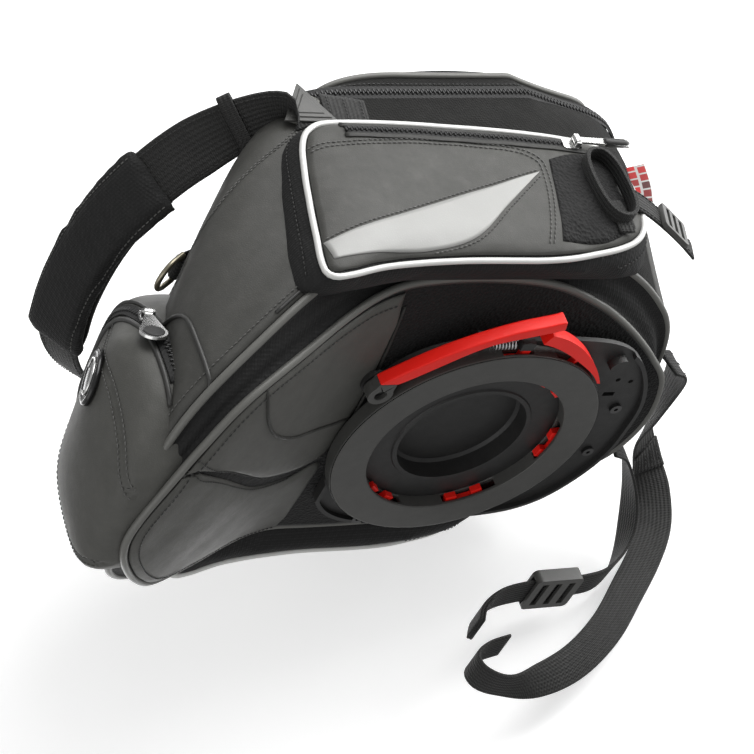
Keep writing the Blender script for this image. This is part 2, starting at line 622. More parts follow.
def puff(ob, voxel=5.0, pressure=4.0, cap=6.0, pin=None, frames_n=18, subdiv=True):
    """Soft stuffed shape by a short cloth simulation with inner pressure, then one subdivision."""
    def use(mod):
        bpy.context.view_layer.objects.active = ob
        with bpy.context.temp_override(object=ob, active_object=ob, selected_objects=[ob]):
            bpy.ops.object.modifier_apply(modifier=mod)
    r = ob.modifiers.new("remesh", "REMESH")
    r.mode, r.voxel_size = "VOXEL", voxel * MM
    use("remesh")
    sm = ob.modifiers.new("smooth", "SMOOTH")
    sm.iterations, sm.factor = 3, 0.5
    use("smooth")
    rest = np.zeros(len(ob.data.vertices) * 3)
    ob.data.vertices.foreach_get("co", rest)
    rest = rest.reshape(-1, 3)
    held = [i for i, p in enumerate(rest / MM) if pin and pin(p)]
    if held:
        ob.vertex_groups.new(name="pin").add(held, 1.0, "REPLACE")
    c = ob.modifiers.new("cloth", "CLOTH")
    s = c.settings
    s.quality, s.mass, s.air_damping = 5, 0.3, 2.0
    s.tension_stiffness = s.compression_stiffness = 18
    s.bending_stiffness = 2.0
    s.use_pressure, s.uniform_pressure_force = True, pressure
    s.effector_weights.gravity = 0
    if held:
        s.vertex_group_mass = "pin"
    c.point_cache.frame_start, c.point_cache.frame_end = 1, frames_n
    for f in range(1, frames_n + 1):
        bpy.context.scene.frame_set(f)
    e = ob.evaluated_get(bpy.context.evaluated_depsgraph_get()).to_mesh()
    new = np.zeros(len(e.vertices) * 3)
    e.vertices.foreach_get("co", new)
    new = new.reshape(-1, 3)
    ob.modifiers.remove(c)
    if len(new) == len(rest) and np.isfinite(new).all():
        d = new - rest
        L = np.linalg.norm(d, axis=1, keepdims=True)
        d *= np.minimum(1, cap * MM / np.maximum(L, 1e-9))
        ob.data.vertices.foreach_set("co", (rest + d).ravel())
    bpy.context.scene.frame_set(1)
    if subdiv:
        sd = ob.modifiers.new("subdiv", "SUBSURF")
        sd.levels = sd.render_levels = 1
        use("subdiv")
    ob.data.polygons.foreach_set("use_smooth", [True] * len(ob.data.polygons))
    ob.data.update()
    return ob


def crease(ob, runs, width=5.0, depth=1.4):
    """Presses seam channels into a finished soft mesh along runs of points."""
    me = ob.data
    co = np.zeros(len(me.vertices) * 3)
    me.vertices.foreach_get("co", co)
    co = co.reshape(-1, 3)
    no = A([v.normal for v in me.vertices])
    S = np.vstack([A(r) for r in runs]) * MM
    d = np.full(len(co), 1e9)
    for i in range(0, len(S), 64):
        d = np.minimum(d, np.linalg.norm(co[:, None] - S[None, i:i + 64], axis=2).min(1))
    w = np.exp(-(d / (width * .5 * MM)) ** 2)
    me.vertices.foreach_set("co", (co - no * (w * depth * MM)[:, None]).ravel())
    me.update()


def relax(ob, f=0.5, n=2):
    m = ob.modifiers.new("even", "SMOOTH")
    m.factor, m.iterations = f, n


TAU = 2 * np.pi
UP = A([0, 0, 1])

# ------------------------------------------------------------------ main body
Q = np.linspace(0, TAU, 240, endpoint=False)


def grid_qv(q, v):
    return np.meshgrid(q, v)


def bulge(v, a=2.2):
    return a * np.sin(np.pi * np.clip(v, 0, 1)) ** 0.6


qq, vv = grid_qv(Q, np.linspace(0, 1, 38))
base_pts = wall(qq, vv)
off = bulge(vv, 1.6) + 0.9 * ripple(base_pts[..., 0], base_pts[..., 1], base_pts[..., 2]) * np.sin(np.pi * vv)
W0 = wall(qq, vv, off - 0.6)
outw = np.stack([np.cos(qq), np.sin(qq), 0 * qq], -1)
shell = put(sheet("main_shell_fabric", W0, M["fabric"], wrap=True, t=2.2, out=outw), "bag", "main_shell")
inner = wall(qq[:, ::2], vv[:, ::2], -3.6 + 0.5 * ripple(*np.moveaxis(base_pts[:, ::2], -1, 0), f=1.7))
put(sheet("shell_lining", inner, M["lining"], wrap=True, t=0.8, out=outw[:, ::2]), "bag")

# coated-leather panels on both rear quarters and the nose, laid over the fabric and stitched down
panels = []
for word, a0, a1, v1 in (("right", 180.6, 246, 0.98), ("left", 114, 179.4, 0.98)):
    q1 = np.radians(np.linspace(a0, a1, 46))
    g, h = grid_qv(q1, np.linspace(0.012, v1, 34))
    # the upper edge slants down towards the front
    s = (g - q1[0]) / (q1[-1] - q1[0])
    s = s if word == "right" else 1 - s
    h = h * (1 - 0.10 * s ** 2)
    p0 = wall(g, h)
    edge = np.minimum(np.minimum(s, 1 - s) * 18, np.minimum(h, 1 - h) * 16)
    o = 0.9 + 2.2 * np.clip(edge, 0, 1) ** .7 + 1.1 * ripple(p0[..., 0], p0[..., 1], p0[..., 2], 1.2) * np.clip(edge, 0, 1)
    G = wall(g, h, o)
    ob = put(sheet("quarter_panel_" + word, G, M["leather"], t=1.8, out=np.stack([np.cos(g), np.sin(g), 0 * g], -1)), "bag")
    panels.append(ob)
q1 = np.radians(np.linspace(-30, 30, 40))
g, h = grid_qv(q1, np.linspace(0.02, 0.72, 24))
s = np.abs(g) / q1[-1]
h = h * (1 - 0.25 * s ** 2)
edge = np.clip(np.minimum((1 - s) * 9, np.minimum(h, 0.7 - h) * 18), 0, 1)
G = wall(g, h, 0.8 + 1.6 * edge)
nose = put(sheet("nose_panel", G, M["leather_dark"], t=1.6, out=np.stack([np.cos(g), np.sin(g), 0 * g], -1)), "bag")
panels.append(nose)
skin = Surf(shell, *panels)

# stitched seam lines on the walls
runs = []
for sgn in (-1, 1):
    for dy in (0, 2.6):
        pts = [(-204, 62, 84), (-180, 84, 96), (-150, 106, 118), (-128, 122, 136), (-112, 130, 160)]
        P = curve([(x + dy, sgn * y, z) for x, y, z in pts], step=4)
        Pd, Nd = skin.drape(P, (0.35, -sgn * 1.0, -0.1), 0.2)
        runs.append((Pd, Nd))
    for v in (0.05,):
        q2 = np.radians(np.linspace(188, 242, 60)) * 1.0
        q2 = q2 if sgn < 0 else TAU - q2
        P = wall(q2, np.full_like(q2, v + 0.0), 3)
        Pd, Nd = skin.drape(P, -np.stack([np.cos(q2), np.sin(q2), 0 * q2], 1), 0.2)
        runs.append((Pd, Nd))
put(stitches("wall_stitches", runs, M["thread"]), "bag")

# ------------------------------------------------------------------ underside
def lower_edge(q, k=0.0, dz=2.0):
    r = RBASE(q) + k
    x, y = -40 + r * np.cos(q), r * np.sin(q)
    return np.stack([x, y, under(x, y) + dz], -1)


LOWP = lower_edge(Q, 1.6, 1.8)
UPP = wall(Q, np.zeros_like(Q), 0.8, low=17.5)
put(tube("lower_piping_cord", LOWP, 2.5, M["piping"], closed=True, ref=UP), "bag", "lower_piping")
put(tube("upper_piping_cord", UPP, 2.5, M["piping"], closed=True, ref=UP), "bag", "upper_piping")
# sewn flange beside each cord
for nm, P, a in (("lower_piping_flange", lower_edge(Q, -1.8, 1.0), (0, 0, 1)), ("upper_piping_flange", wall(Q, np.zeros_like(Q), 0.2, low=20.5), None)):
    T = unit(np.roll(P, -1, 0) - np.roll(P, 1, 0))
    Wd = unit(np.cross(T, UP)) if a else UP
    f, *_ = ribbon(nm, P, Wd, 4.6, 0.8, M["piping_dark"], closed=True)
    put(f, "bag")

sg = np.linspace(0, 1, 22)
lowc, upc = lower_edge(Q, 0.6, 3.2), wall(Q, np.zeros_like(Q), -0.4, low=15.6)
G = lowc[None] * (1 - sg[:, None, None]) + upc[None] * sg[:, None, None]
dcc = np.roll(G, -1, 1) - np.roll(G, 1, 1)
n = unit(np.cross(dcc, np.gradient(G, axis=0)))
if (n[..., 2].sum()) > 0:
    n = -n
fold = (-(3.4 * np.sin(np.pi * sg) + 1.2 * np.sin(3 * np.pi * sg)))[:, None] * (1 + 0.12 * ripple(G[..., 0], G[..., 1], G[..., 2], 2))
G = G + n * fold[..., None]
put(sheet("gusset_fabric", G, M["nylon"], wrap=True, t=1.4, out=n), "bag", "expansion_gusset")

# moulded base pan: fabric-covered round the lock, opening for the recess
sb = np.linspace(0, 1, 26)
hole = np.stack([51.0 * np.cos(Q) - 0, 51.0 * np.sin(Q)], 1)
edge2 = lower_edge(Q, 0.6, 0)[:, :2]
XY = hole[None] * (1 - sb[:, None, None]) + edge2[None] * sb[:, None, None]
Z = under(XY[..., 0], XY[..., 1]) + 0.6 * (1 - np.clip((1 - sb[:, None]) * 8, 0, 1))
G = np.concatenate([XY, Z[..., None]], -1)
pan = put(sheet("base_pan_fabric", G, M["mesh"], wrap=True, t=3.0, out=(0, 0, -1)), "bag", "base_panel")

# leather apron over the rear of the base, with raised panels divided by curved seams
def apron(name, inner_pts, qa, qb, mat, lift, crown, inset=2.0, rows=26, cols=90, ride="bag"):
    q = np.linspace(math.radians(qa), math.radians(qb), cols)
    O = lower_edge(q, -inset, 0)[:, :2]
    I = curve(inner_pts, n=cols)[:, :2]
    s = np.linspace(0, 1, rows)
    XY = I[None] * (1 - s[:, None, None]) + O[None] * s[:, None, None]
    c = np.linspace(0, 1, cols)[None]
    e = np.clip(np.minimum(np.minimum(s[:, None], 1 - s[:, None]) * 7, np.minimum(c, 1 - c) * 26), 0, 1)
    Z = under(XY[..., 0], XY[..., 1]) - lift - crown * e ** .6 - .7 * e * ripple(XY[..., 0], XY[..., 1], 0 * XY[..., 0], 1.1)
    G = np.concatenate([XY, Z[..., None]], -1)
    return put(sheet(name, G, mat, t=1.6, out=(0, 0, -1)), "bag"), G


seam_main = [(-228, -60), (-213, -45), (-189, -25.5), (-146, 15), (-113, 32), (-92, 26)]
a1, GA = apron("apron_right", [(-86, -108, 0), (-86, -60, 0), (-88, 0, 0), (-92, 22, 0), (-110, 28, 0), (-142, 12, 0), (-186, -28, 0), (-214, -50, 0)],
               249, 195, M["leather_base"], 0.8, 2.2)
a2, GB = apron("apron_rear", [(-217, -46, 0), (-188, -21, 0), (-147, 19, 0), (-112, 36, 0), (-90, 31, 0), (-87, 60, 0), (-85, 90, 0), (-84, 108, 0)],
               194, 109, M["leather_base"], 0.6, 1.8)
under_skin = Surf(pan, a1, a2)
runs = []
for dx, dy in ((-3.4, 3.4), (3.0, -3.4)):
    P = curve([(x + dx, y + dy, -60) for x, y in seam_main], step=4)
    Pd, Nd = under_skin.drape(P, (0, 0, 1), 0.15, back=60)
    runs.append((Pd, Nd))
for k in (-8.0,):
    P = lower_edge(np.radians(np.linspace(112, 247, 160)), k, 0)
    P[:, 2] -= 40
    Pd, Nd = under_skin.drape(P, (0, 0, 1), 0.15, back=60)
    runs.append((Pd, Nd))
put(stitches("base_stitches", runs, M["thread_dark"]), "bag")
# raised welt along the edge of the apron
for i, pts in enumerate(([(-83.5, -112, 0), (-83.5, -60, 0), (-85, -10, 0)], [(-186, -97, 0), (-176, -70, 0), (-160, -46, 0), (-136, -28, 0), (-108, -20, 0), (-92, -19, 0)])):
    P = curve(pts, step=4)
    P[:, 2] = -70
    Pd, Nd = under_skin.drape(P, (0, 0, 1), 0.25, back=60)
    put(tube("apron_welt_%d" % i, Pd, 1.1, M["leather_dark"], ref=(0, 0, 1)), "bag")

# ------------------------------------------------------------------ lid
ql, vl = grid_qv(Q, np.linspace(0, 0.94, 34))
p0 = dome(ql, vl)
puffed = 1.4 * np.clip((vl - 0.09) * 9, 0, 1) + 1.0 * ripple(p0[..., 0], p0[..., 1], p0[..., 2], 1.0) * np.clip((vl - 0.1) * 5, 0, 1)
DL = dome(ql, vl, puffed - 0.5)
top = DL[-1].mean(0) + A([0, 0, 0.9])
lid = put(sheet("lid_shell", DL, M["fabric"], wrap=True, pole1=top, t=2.2, out=DL - CEN), "lid", "lid")
LI = dome(ql[:, ::2], vl[:, ::2], -3.6)
put(sheet("lid_lining", LI, M["lining"], wrap=True, pole1=LI[-1].mean(0) + A([0, 0, .6]), t=0.8, out=LI - CEN), "lid")
# leather top panel with a piped border
qt, vt = grid_qv(Q, np.linspace(0.0, 1.0, 18))
shape_v = 0.40 + 0.05 * np.cos(2 * Q) + 0.03 * np.cos(4 * Q)
vt2 = shape_v[None] + (0.93 - shape_v[None]) * vt
e = np.clip(vt * 5, 0, 1)
GT = dome(qt, vt2, 1.4 + 1.4 * e ** .7 + 0.9 * e * ripple(*np.moveaxis(dome(qt, vt2), -1, 0), f=1.2))
toppanel = put(sheet("lid_top_panel", GT, M["leather_dark"], wrap=True, pole1=GT[-1].mean(0) + A([0, 0, .5]), t=1.6, out=GT - CEN), "lid")
lid_skin = Surf(lid, toppanel)
P = dome(Q, shape_v - 0.012, 1.2)
put(tube("lid_panel_piping", P, 1.6, M["piping_dark"], closed=True, ref=UP), "lid")
P = dome(Q, np.full_like(Q, 0.10), 0.9)
put(tube("lid_piping_cord", P, 2.2, M["piping"], closed=True, ref=UP), "lid", "lid_piping")
runs = []
for v, o in ((0.035, 0.6), (0.145, 1.2)):
    P = dome(Q, np.full_like(Q, v), o + 2)
    P = np.vstack([P, P[:1]])
    runs.append(lid_skin.drape(P, -unit(P - CEN), 0.15, back=30))
P = dome(Q, shape_v + 0.035, 5)
P = np.vstack([P, P[:1]])
runs.append(lid_skin.drape(P, -unit(P - CEN), 0.15, back=30))
put(stitches("lid_stitches", runs, M["thread_dark"]), "lid")

# zip round the lid, and the fabric hinge at the front
qz = np.radians(np.linspace(16, 344, 300))
PZ_ = wall(qz, np.ones_like(qz), 1.0, high=-6.0)
NZ_ = np.stack([np.cos(qz), np.sin(qz), 0 * qz], 1)
nrm = []
for i in range(len(qz)):
    t = PZ_[min(i + 1, len(qz) - 1)] - PZ_[max(i - 1, 0)]
    nn = np.cross(t, UP)
    nn = nn / np.linalg.norm(nn)
    nrm.append(nn if nn @ NZ_[i] > 0 else -nn)
zipper("lid_zip", PZ_, A(nrm), width=11.0, replaces="lid_zip_tape")
qh = np.radians(np.linspace(-15, 15, 26))
rows = np.linspace(-9, 9, 13)
G = np.stack([solve(qh, lambda x, y, r=r: parting(x) + r, 1.3 + 0.9 * math.cos(r / 9 * 1.5)) for r in rows])
hinge = sheet("lid_hinge_fabric", G, M["nylon"], t=0.9, out=(1, 0, 0))
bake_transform(hinge)

# ------------------------------------------------------------------ compartment floor
sf = np.linspace(0.02, 1, 16)
edge3 = lower_edge(Q[::2], -15.5, 0)[:, :2]
XY = A([-40, 0])[None, None] * (1 - sf[:, None, None]) + edge3[None] * sf[:, None, None]
Z = under(XY[..., 0], XY[..., 1]) + 12.6 + 0.5 * ripple(XY[..., 0], XY[..., 1], 0 * XY[..., 0], 2.2)
flo = np.concatenate([XY, np.maximum(Z, 25.2 * (np.hypot(XY[..., 0], XY[..., 1]) < 54))[..., None]], -1)
put(sheet("floor_lining_fabric", flo, M["lining"], wrap=True, pole0=(-40, 0, 25.6), t=1.4, out=(0, 0, 1)), "bag", "floor_lining")

# ------------------------------------------------------------------ rear pocket
REAR_OUT = [(-206, 126), (-226, 97), (-244, 64), (-262, 32), (-273, 2), (-275, -24), (-268, -44), (-256, -54)]
ARCH = [(-16, -62), (-38, -52), (-60, -32), (-76, -6), (-78, 16), (-74, 36), (-62, 57), (-44, 86), (-24, 110), (0, 124),
        (24, 110), (44, 86), (62, 57), (74, 36), (78, 16), (76, -6), (60, -32), (38, -52), (16, -62)]
RARCH = polar(ARCH + [(0, -64)], (0, 25), True)
zo, xo = A(REAR_OUT)[::-1, 1], A(REAR_OUT)[::-1, 0]
RPLAN = polar([(-276, 0), (-272, 30), (-258, 62), (-236, 90), (-214, 112), (-100, 130), (-60, 0), (-100, -130), (-214, -112), (-236, -90), (-258, -62), (-272, -30)], (-190, 0), True)
DEN = dense(REAR_OUT[::-1], False, 16)


def rpocket(x, y, z, k=0.0):
    da = np.hypot(y, z - 25) - RARCH(np.arctan2(z - 25, y))
    ds = (np.interp(z, DEN[:, 1], DEN[:, 0]) - x) * 0.88
    dp = np.hypot(x + 190, y) - RPLAN(np.arctan2(y, x + 190))
    return smax(smax(smax(da, dp, 9), ds, 17), under(x, y) + 3.5 - z, 7) - 2.4 - k


RO = A([-212, 0, 22])


def rear_surf(q, e, k=0.0):
    """q round the pocket, e from its crown (0) to the body wall (1)."""
    ph = e * math.radians(112)
    d = np.stack([-np.cos(ph), np.sin(ph) * np.cos(q), np.sin(ph) * np.sin(q)], -1)
    a, b = np.zeros(q.shape), np.full(q.shape, 200.0)
    for _ in range(26):
        m = (a + b) / 2
        p = RO + d * m[..., None]
        ins = rpocket(p[..., 0], p[..., 1], p[..., 2], k) < 0
        a, b = np.where(ins, m, a), np.where(ins, b, m)
    return RO + d * a[..., None]


qr = np.linspace(0, TAU, 96, endpoint=False)
er = np.linspace(0.03, 1, 34)
q2, e2 = np.meshgrid(qr, er)
RSUR = rear_surf(q2, e2, -1.6)
verts = [RSUR.reshape(-1, 3), A([[RSUR[0].mean(0)[0], RSUR[0].mean(0)[1], RSUR[0].mean(0)[2]]]), A([RSUR[-1].mean(0)])]
R_, C_ = RSUR.shape[:2]
fc = [[r * C_ + c, r * C_ + (c + 1) % C_, (r + 1) * C_ + (c + 1) % C_, (r + 1) * C_ + c] for r in range(R_ - 1) for c in range(C_)]
fc += [[c, (c + 1) % C_, R_ * C_] for c in range(C_)] + [[(R_ - 1) * C_ + c, (R_ - 1) * C_ + (c + 1) % C_, R_ * C_ + 1] for c in range(C_)]
rear = mesh_obj("rear_pocket_body", np.vstack(verts), fc, M["leather_base"])
puff(rear, 5.0, 3.5, 3.5, pin=lambda p: body(p[0], p[1], p[2]) < 1.5)
yz = lambda k, n=90: curve(np.hstack([grown(ARCH + [(0, -59)], k), ]), n=n, closed=True)
put(rear, "bag", "rear_pocket")
rear_skin = Surf(rear)


def arch_line(k, x, n=110, zmin=-30, bow=0.0):
    """Line on the pocket's flank, k outside the arch at position x."""
    P2 = curve(grown(ARCH, 0) if False else ARCH, n=n)
    c = A([0, 25])
    d = unit(P2 - c)
    P2 = P2 + d * k
    m = P2[:, 1] > zmin
    P2 = P2[m]
    return np.stack([np.full(len(P2), x) + bow * (P2[:, 1] / 120) ** 2, P2[:, 0], P2[:, 1]], 1), np.stack([0 * P2[:, 0], *(unit(P2 - c)).T], 1)


P, Nn = arch_line(14, -228.5, zmin=-6)
Pd, Nd = rear_skin.drape(P, -Nn, 0.5, back=25)
zipper("rear_zip", Pd, Nd, width=11.5, replaces="rear_zip_tape")
for k, x in ((0, -236.5), (1, -219.5)):
    P, Nn = arch_line(14, x, zmin=-20)
    Pd, Nd = Surf(rear, shell, *panels).drape(P, -Nn, 0.5, back=25)
    put(tube("rear_zip_piping_%d" % k, Pd, 1.7 if k == 0 else 1.4, M["piping_dark"], ref=(1, 0, 0)), "bag")
# fabric insert on the flank in front of the zip, and crown seams on the face
runs, crs = [], []
for sgn in (-1, 1):
    pts = [(-300, sgn * 10, 112), (-300, sgn * 30, 86), (-300, sgn * 46, 50), (-300, sgn * 56, 14), (-300, sgn * 52, -24), (-300, sgn * 34, -50)]
    P = curve(pts, step=3)
    Pd, Nd = rear_skin.drape(P, (1, 0, 0), 0.0, back=10)
    crs.append(Pd)
crease(rear, crs, 5.0, 1.7)
rear_skin = Surf(rear)
for sgn in (-1, 1):
    pts = [(-300, sgn * 10, 112), (-300, sgn * 30, 86), (-300, sgn * 46, 50), (-300, sgn * 56, 14), (-300, sgn * 52, -24), (-300, sgn * 34, -50)]
    for dy in (-3.2, 3.2):
        P = curve([(x, y + sgn * dy, z) for x, y, z in pts], step=3)
        runs.append(rear_skin.drape(P, (1, 0, 0), 0.15, back=10))
put(stitches("rear_stitches", runs, M["thread"]), "bag")

# oval badge: black dome with a plain metal ring, no lettering
hit, hn = rear_skin.drape([(-300.0, -40.0, 40.0)], (1, 0.12, -0.05), 0.0, back=10)
bo, bn = hit[0] + hn[0] * 0.6, unit(hn[0])
by = unit(UP - bn * (UP @ bn))
bx = np.cross(by, bn)
a = np.linspace(0, TAU, 48, endpoint=False)
ringrow = lambda k, h: bo + (np.cos(a) * 15 * k)[:, None] * bx + (np.sin(a) * 20 * k)[:, None] * by + bn * h
G = np.stack([ringrow(1, -1.5), ringrow(1, 1.2), ringrow(0.95, 1.9), ringrow(0.86, 1.9), ringrow(0.8, 1.2), ringrow(0.6, 1.7), ringrow(0.3, 2.2)])
put(sheet("badge_dome", G, M["gloss"], wrap=True, pole1=bo + bn * 2.4, t=0.9, out=bn), "bag", "rear_badge")
b2 = np.linspace(math.radians(200), math.radians(480), 40)
P = bo + (np.cos(b2) * 9.5)[:, None] * bx + (np.sin(b2) * 13)[:, None] * by + bn * 2.1
put(tube("badge_ring", P, np.interp(np.linspace(0, 1, 40), [0, .5, 1], [.5, 1.2, .5]), M["chrome"], ref=bn), "bag")

# ------------------------------------------------------------------ side pockets
FACE = [(-158, 22), (-154, 50), (-147, 90), (-140, 118), (-130, 132), (-112, 138), (-60, 139), (0, 136), (50, 130),
        (76, 122), (86, 104), (88, 76), (82, 52), (66, 38), (36, 30), (0, 26), (-60, 26), (-110, 22), (-140, 15), (-153, 14)]
FC = A([-35, 78])
pocket_skin = {}
for sgn, word in ((-1, "right"), (1, "left")):
    F2 = curve(FACE, n=130, closed=True)
    rows = []
    for s in np.linspace(0.06, 0.96, 14):
        rows.append((s, 157.0 - 1.0 * s ** 4, 0))
    for s, y, k in rows[:]:
        pass
    loops = [np.stack([*(FC + (F2 - FC) * s).T, np.full(130, y)], 1) for s, y, _ in rows]
    for k, y in ((-1.0, 155.6), (1.5, 152.5), (5.0, 146), (9.0, 137), (12.5, 127.5)):
        g = grown(F2, k)
        gz = np.maximum(g[:, 1], 20 + 12 * np.clip((157 - y) / 30, 0, 1) - 6 * np.clip((-g[:, 0] - 90) / 60, 0, 1) * 2)
        loops.append(np.stack([g[:, 0], np.where(g[:, 1] < 60, gz, g[:, 1]), np.full(130, y)], 1))
    L = A(loops)
    G = np.stack([L[..., 0], sgn * L[..., 2], L[..., 1]], -1)
    R_, C_ = G.shape[:2]
    vts = np.vstack([G.reshape(-1, 3), [[FC[0], sgn * 157, FC[1]]], [[FC[0], sgn * 127.5, FC[1]]]])
    fc = [[r * C_ + c, r * C_ + (c + 1) % C_, (r + 1) * C_ + (c + 1) % C_, (r + 1) * C_ + c] for r in range(R_ - 1) for c in range(C_)]
    fc += [[c, (c + 1) % C_, R_ * C_] for c in range(C_)] + [[(R_ - 1) * C_ + c, (R_ - 1) * C_ + (c + 1) % C_, R_ * C_ + 1] for c in range(C_)]
    pk = mesh_obj("side_pocket_body_" + word, vts, fc, M["nylon"])
    puff(pk, 5.0, 3.0, 3.0, pin=lambda p: abs(p[1]) < 134)
    put(pk, "bag", "side_pocket_" + word)
    ps = Surf(pk)
    out = A([0, sgn, 0])
    # leather face panel inside the silver piping
    rows = np.linspace(0.05, 1, 26)
    inner_f = grown(F2, -3.6)
    XZ = FC + (inner_f[None] - FC) * rows[:, None, None]
    P = np.stack([XZ[..., 0], np.full(XZ.shape[:2], sgn * 156.0), XZ[..., 1]], -1)
    Pd, _ = ps.drape(P.reshape(-1, 3), -out, 0.0, back=40)
    Y = Pd[:, 1].reshape(P.shape[:2])
    e = np.clip((1 - rows[:, None]) * 9, 0, 1)
    Y = sgn * (np.minimum(np.abs(Y), 160.5) + 1.1 + 0.9 * e ** .6 + 0.5 * e * ripple(P[..., 0], 0 * P[..., 1], P[..., 2], 1.3))
    P = np.stack([P[..., 0], Y, P[..., 2]], -1)
    fp = sheet("pocket_face_" + word, P, M["leather"], wrap=True, pole0=(FC[0], Y[0].mean(), FC[1]), t=1.8, out=out)
    put(fp, "bag")
    ps2 = Surf(pk, fp)
    pocket_skin[word] = ps2

    def lay(pts, lift=0.3, step=4.0, straight=False, closed=False):
        C3 = curve(pts, step=step, straight=straight, closed=closed)
        P3 = np.stack([C3[:, 0], np.full(len(C3), sgn * 158.0), C3[:, 1]], 1)
        return ps2.drape(P3, -out, lift, back=40)

    # silver piping round the face
    pp = grown(curve(FACE, n=180, closed=True), -1.6)
    Pd, Nd = ps2.drape(np.stack([pp[:, 0], np.full(180, sgn * 158.0), pp[:, 1]], 1), -out, 0.9, back=40)
    Pd[:, 1] = sgn * np.convolve(np.abs(np.concatenate([Pd[-6:, 1], Pd[:, 1], Pd[:6, 1]])), np.ones(13) / 13, "valid")
    put(tube("silver_piping_" + word, Pd, 2.0, M["silver"], closed=True, ref=out), "bag", "side_piping_" + word)
    # reflective wedge
    te = curve([(-152, 38), (-110, 52), (-60, 68), (-20, 81), (16, 93)], n=50)
    be = curve([(-150, 25), (-120, 28.5), (-85, 31), (-49, 40), (-18, 65), (16, 93)], n=50)
    s = np.linspace(0, 1, 12)[:, None, None]
    XZ = te[None] * (1 - s) + be[None] * s
    P = np.stack([XZ[..., 0], np.full(XZ.shape[:2], sgn * 158.0), XZ[..., 1]], -1)
    Pd, _ = ps2.drape(P.reshape(-1, 3), -out, 0.55, back=40)
    put(sheet("reflective_wedge_" + word, Pd.reshape(P.shape), M["reflective"], t=0.8, out=out), "bag", "reflective_panel_" + word)
    runs = [lay([(-152, 40), (-110, 54), (-60, 70), (-20, 83), (17, 95)], 0.2), lay([(-83, 29.5), (-47, 38.5), (-16, 63.5), (17.5, 91)], 0.2)]
    # seam arcs on the face and round the border
    runs += [lay([(-140, 112), (-122, 116), (-60, 118), (0, 114), (20, 106), (22, 92), (16, 66), (4, 34)], 0.15),
             lay([(-139, 109), (-120, 113), (-60, 115), (-2, 111), (16.5, 104), (18.5, 92), (12.5, 66), (1, 34)], 0.15)]
    put(stitches("pocket_stitches_" + word, runs, M["thread"]), "bag")
    border = grown(curve(FACE, n=180, closed=True), 5.2)
    Pd, Nd = ps2.drape(np.stack([border[:, 0], np.full(180, sgn * 158.0), border[:, 1]], 1), -out, 0.1, back=40)
    put(stitches("pocket_border_stitches_" + word, [(Pd, Nd)], M["thread_dark"]), "bag")
    # zip under the top piping
    Pz, Nz = lay([(-108, 127.4), (-60, 125.4), (0, 121.8), (58, 117.8)], 0.5, 3.0)
    zipper("pocket_zip_" + word, Pz, Nz, width=8.5, replaces="side_zip_tape_" + word)
    for k, (a_, b_) in enumerate((((-110, 132.4), (60, 122.6)), ((-110, 122.2), (60, 112.8)))):
        Pz, Nz = lay([a_, ((a_[0] + b_[0]) / 2, (a_[1] + b_[1]) / 2 + .3), b_], 0.4)
        rb, *_ = ribbon("zip_lip_%s_%d" % (word, k), Pz, (0, 0, 1), 3.4, 1.8, M["leather_dark"])
        put(rb, "bag")
    # mesh window at the front end of the pocket
    te = curve([(28, 104), (50, 110), (74, 108)], n=26)
    be = curve([(12, 38), (44, 38), (72, 50)], n=26)
    s = np.linspace(0, 1, 20)[:, None, None]
    XZ = te[None] * (1 - s) + be[None] * s
    P = np.stack([XZ[..., 0], np.full(XZ.shape[:2], sgn * 158.0), XZ[..., 1]], -1)
    Pd, _ = ps2.drape(P.reshape(-1, 3), -out, 0.45, back=40)
    put(sheet("pocket_mesh_" + word, Pd.reshape(P.shape), M["mesh"], t=0.8, out=out), "bag")
    # oval webbing loop
    a = np.linspace(0, TAU, 60, endpoint=False)
    lx, lz = 62 + 12 * np.sign(np.cos(a)) * np.abs(np.cos(a)) ** .8, 80 + 28 * np.sign(np.sin(a)) * np.abs(np.sin(a)) ** .8
    P = np.stack([lx, np.full(60, sgn * 164.5), lz], 1)
    lp, LP, LW, LN = ribbon("side_loop_web_" + word, P, (0, 1, 0), 11.0, 2.6, M["webbing"], closed=True)
    put(lp, "bag", "side_loop_" + word)
    lp, *_ = ribbon("side_loop_tack_" + word, curve([(62, sgn * 160.6, 44), (62, sgn * 162.0, 58), (62, sgn * 160.8, 70)], step=3), (1, 0, 0), 11.0, 1.8, M["webbing"])
    put(lp, "bag")
    # compression strap with a folded, stitched end
    sp = curve([(80, sgn * 159.5, 74), (92, sgn * 154.5, 71), (106, sgn * 147.5, 66), (118, sgn * 141.0, 60), (131, sgn * 132.5, 53)], step=2.5)
    st, SP, SW, SN = ribbon("compression_web_" + word, sp, (0.1, 0, 1), 19.0, 2.0, M["webbing"])
    put(st, "bag", "compression_strap_" + word)
    runs = []
    for o in (-7.5, 7.5):
        n2 = SN if (SN[0] @ out) > 0 else -SN
        runs.append((SP + SW * o + n2 * 1.0, n2))
    put(stitches("compression_stitches_" + word, runs, M["thread_dark"]), "bag")
    # second pocket piping, along the lower flap
    P = wall(np.radians(np.linspace(222, 318, 90)) * 1.0 if sgn < 0 else TAU - np.radians(np.linspace(222, 318, 90)), np.full(90, 0.03), 2.0)
    put(tube("flap_piping_" + word, P, 1.3, M["piping_dark"], ref=UP), "bag")

